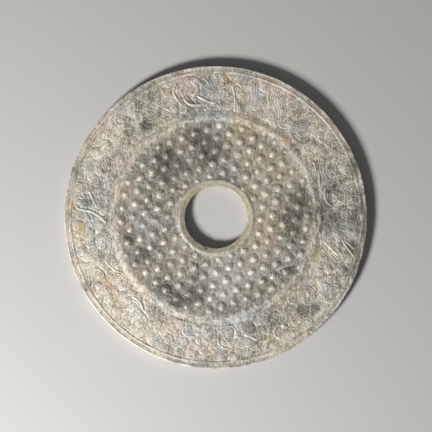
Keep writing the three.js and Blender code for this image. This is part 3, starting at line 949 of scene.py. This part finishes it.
# Veins and polishing lines are under a tenth of a millimetre wide, and are drawn several times
# wider, because they would not show.
light_veins = on_carving(veins(4.2, 0.5, 0.035, 0.6))
dark_veins = on_carving(veins(4.8, 0.52, 0.03, 0.55))
layers = [
    # Clouds.
    ("857f70", clouds(24, 0.38, 0.62, 1, 6, 0.62, 0.8)),
    ("66635a", clouds(9, 0.5, 0.72, 0.6, 7, 0.66, 0.6)),
    ("cfc8bb", clouds(7, 0.5, 0.72, 0.5, 8, 0.68, 0.5)),
    ("939ca1", clouds(8.5, 0.5, 0.64, 0.6, 6, 0.6, 0.5)),
    ("c3a683", clouds(10, 0.5, 0.64, 0.55, 6, 0.6, 0.5)),
    # Stains.
    *[(tint, stain(name, strength)) for name, tint, strength, patches in stains],
    # Specks.
    ("e6e0d4", on_carving(clouds(1.9, 0.54, 0.74, 0.35, 3, 0.7))),
    ("4c4a42", on_carving(clouds(2.3, 0.56, 0.76, 0.35, 3, 0.7))),
    # Veins.
    ("eee9de", veins(2.7, 0.48, 0.05, 0.4)),
    ("45423a", veins(2.9, 0.53, 0.05, 0.45)),
    ("ece6da", light_veins),
    ("504c43", dark_veins),
    # Polishing lines.
    ("ece6da", hairlines(1.9, 16, 6, 0.5, 0.05, 0.5)),
    ("4f4b40", hairlines(2.2, 13, -4, 0.52, 0.05, 0.42)),
    ("e9e2d4", hairlines(2.4, 12, 62, 0.49, 0.045, 0.42)),
    ("55503f", hairlines(2.0, 10, -38, 0.51, 0.045, 0.35)),
    # The darkest stains once more, over the light lines.
    ("4c4a3a", stain("dark", 0.6)),
    # Painted shade with some dirt on the low ground among the grains, and their caps painted lighter, as
    # highlights with some polish.
    ("524d3f", kept("grain_ground_shade_and_dirt", 0.34)),
    ("e4dccb", kept("cap_highlight_and_polish", clouds(1.6, 0.35, 0.6, 0.4, 3))),
    # Turning marks, scratches, crests painted lighter as highlights with some chalkiness, and the olive
    # collar.
    ("5f5a4c", streaks(0.1, 0.8)),
    ("e6dfd0", streaks(-0.1, -0.8)),
    ("e6e2d8", kept("scuffed", 0.55)),
    ("ece5d6", kept("chalky_crest_highlight", 0.38)),
    ("8f876a", kept("olive", 0.5)),
    # Painted shade with some dirt in the cuts, grooves and pits, and whatever stands up is worn pale.
    ("504b3d", kept("dirt_and_shade", 0.34)),
    ("f0ebe0", kept("crown", on_carving(clouds(3, 0.35, 0.65, 0.28, 5)))),
]
jade = colour("b9ae9b")
for tint, amount in layers:
    jade = add_node("Mix", {"data_type": "RGBA"}, 2, i0=amount, i6=jade, i7=colour(tint))
tree.links.new(jade, shader.inputs["Base Color"])
dullness = clouds(6, 0.35, 0.65, 0.58, 6, least=0.34)
tree.links.new(dullness, shader.inputs["Roughness"])

# Grit marks about a millimetre across, with the veins a little proud or sunk.
grit_depth = 0.14 * MM
small_grit = add_node("TexNoise", {}, "Fac", Vector=where, Scale=1 / (1.3 * MM), Detail=4,
                      Roughness=0.7)
large_grit = add_node("TexNoise", {}, "Fac", Vector=where, Scale=1 / (3.2 * MM), Detail=4,
                      Roughness=0.6)
grit = add_node("Math", product_and_sum, "Value", i0=large_grit, i1=1.4, i2=small_grit)
relief = add_node("Math", {"operation": "SUBTRACT"}, "Value", i0=light_veins, i1=dark_veins)
grit = add_node("Math", {"operation": "ADD"}, "Value", i0=grit, i1=relief)
bump = add_node("Bump", {}, "Normal", Height=grit, Strength=on_carving(0.7), Distance=grit_depth)
tree.links.new(bump, shader.inputs["Normal"])
mesh.materials.clear()
mesh.materials.append(stone)

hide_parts("bi_disc")
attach(disc, "root")

# THE TABLE
# A large sheet of matt pale card that the disc lies on. It has no gloss, so the disc's soft
# shadow is all that shows on it.
half = 1.5
corners = [(-half, -half, 0), (half, -half, 0), (half, half, 0), (-half, half, 0)]
table_mesh = bpy.data.meshes.new("table")
table_mesh.from_pydata(corners, [], [(0, 1, 2, 3)])
table = bpy.data.objects.new("table", table_mesh)
bpy.context.scene.collection.objects.link(table)
card = bpy.data.materials.new("pale_card")
card.use_nodes = True
card_shader = card.node_tree.nodes["Principled BSDF"]
card_shader.inputs["Base Color"].default_value = colour("bab8b4")
card_shader.inputs["Roughness"].default_value = 0.8
table_mesh.materials.append(card)

# THE LIGHT AND THE CAMERA
# One soft lamp, low and near at the lower left, with pale fill from all round. The camera looks
# straight down.
world = bpy.data.worlds.new("studio")
bpy.context.scene.world = world
world.use_nodes = True
background = world.node_tree.nodes["Background"]
background.inputs["Color"].default_value = colour("e8eaee")
background.inputs["Strength"].default_value = 0.17
key = bpy.data.lights.new("key", "AREA")
key.size = 0.2
key.energy = 13.2
key_lamp = bpy.data.objects.new("key", key)
rise = math.radians(34)
reach = 0.9
aside = reach * math.cos(rise) * math.sin(math.pi / 4)
key_lamp.location = (-aside, -aside, reach * math.sin(rise))
key_lamp.rotation_euler = (math.radians(90) - rise, 0, math.radians(-45))
bpy.context.scene.collection.objects.link(key_lamp)

camera = bpy.data.cameras.new("camera")
camera.lens = 100
camera.sensor_width = 36
eye = bpy.data.objects.new("camera", camera)
bpy.context.scene.collection.objects.link(eye)
half_view = 1.4229 * disc_radius * MM
distance = half_view * camera.lens / (camera.sensor_width / 2)
eye.location = (0.0001, 0.00067, thickness * MM + distance)
bpy.context.scene.camera = eye
bpy.context.scene.view_settings.view_transform = "Standard"
